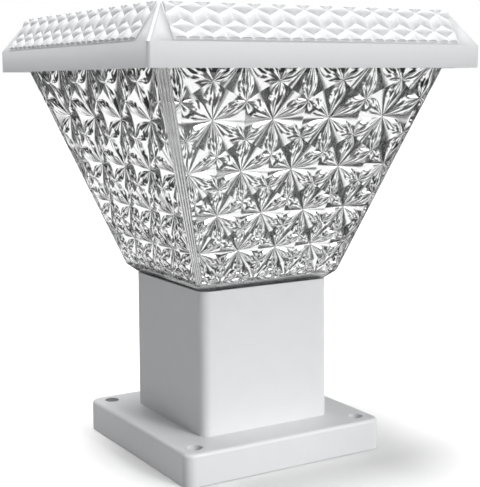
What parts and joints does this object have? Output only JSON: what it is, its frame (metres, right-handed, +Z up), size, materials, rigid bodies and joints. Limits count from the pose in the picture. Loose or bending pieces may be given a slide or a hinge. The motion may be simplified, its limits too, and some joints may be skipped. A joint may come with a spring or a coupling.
{
  "type": "deck post cap light",
  "caption": "Solar post lamp with a screw-down square base, square column, star-cut crystal shade and a hipped roof with a sprung power button under its eave.",
  "frame": {"origin": "centre of the base plate's underside", "axes": "+Z up along the column, X and Y square to the sides of the base"},
  "size_m": [0.2008, 0.2008, 0.2501],
  "materials": {
    "white_plastic": "satin moulded ABS",
    "crystal_plastic": "clear moulded polystyrene",
    "dark_rubber": "matte silicone",
    "screw_steel": "zinc plated",
    "panel_backsheet": "satin laminate",
    "solar_silicon": "dark blue anti-reflection coat",
    "tinned_copper": "tinned",
    "panel_laminate": "clear laminate",
    "board_white": "white solder mask",
    "board_green": "green solder mask",
    "led_body": "white package",
    "phosphor": "yellow phosphor gel",
    "black_plastic": "matte",
    "battery_wrap": "shrink wrap over a metal can",
    "ferrite": "matte ferrite",
    "capacitor_can": "sleeved can",
    "socket_plastic": "off-white nylon",
    "button_plastic": "grey silicone",
    "red_wire": "PVC insulation",
    "black_wire": "PVC insulation"
  },
  "bodies": {
    "lamp": {"base_plate": "white_plastic", "base_screws": "screw_steel", "neck_column": "white_plastic", "neck_cap": "white_plastic", "foot_gasket": "dark_rubber", "shade": "crystal_plastic", "foot_screws": "screw_steel", "shade_gasket": "dark_rubber", "lamp_tray": "white_plastic", "tray_screws": "screw_steel", "roof_cover": "white_plastic", "roof_screws": "screw_steel", "solar_backsheet": "panel_backsheet", "solar_cells": "solar_silicon", "solar_ribbons": "tinned_copper", "solar_laminate": "panel_laminate", "solar_seal": "dark_rubber", "led_board": "board_white", "led_packages": "led_body", "led_phosphor": "phosphor", "led_board_screws": "screw_steel", "battery_holder": "black_plastic", "battery_holder_screws": "screw_steel", "battery_cell": "battery_wrap", "battery_contacts": "tinned_copper", "control_board": "board_green", "control_board_screws": "screw_steel", "controller_chip": "black_plastic", "power_inductor": "ferrite", "capacitors": "capacitor_can", "wire_sockets": "socket_plastic", "switch_board": "board_green", "switch_board_screws": "screw_steel", "switch_pins": "tinned_copper", "switch_body": "black_plastic", "switch_spring": "screw_steel", "positive_leads": "red_wire", "negative_leads": "black_wire"},
    "button": {"power_button": "button_plastic", "switch_plunger": "socket_plastic"}
  },
  "joints": [
    {"name": "button_press", "type": "slide", "parent": "lamp", "child": "button", "axis": [0, 0, 1], "range_m": [0, 0.0015], "stiffness_N_per_m": 200, "springref_m": -0.004, "deforming": ["switch_spring"]}
  ]
}
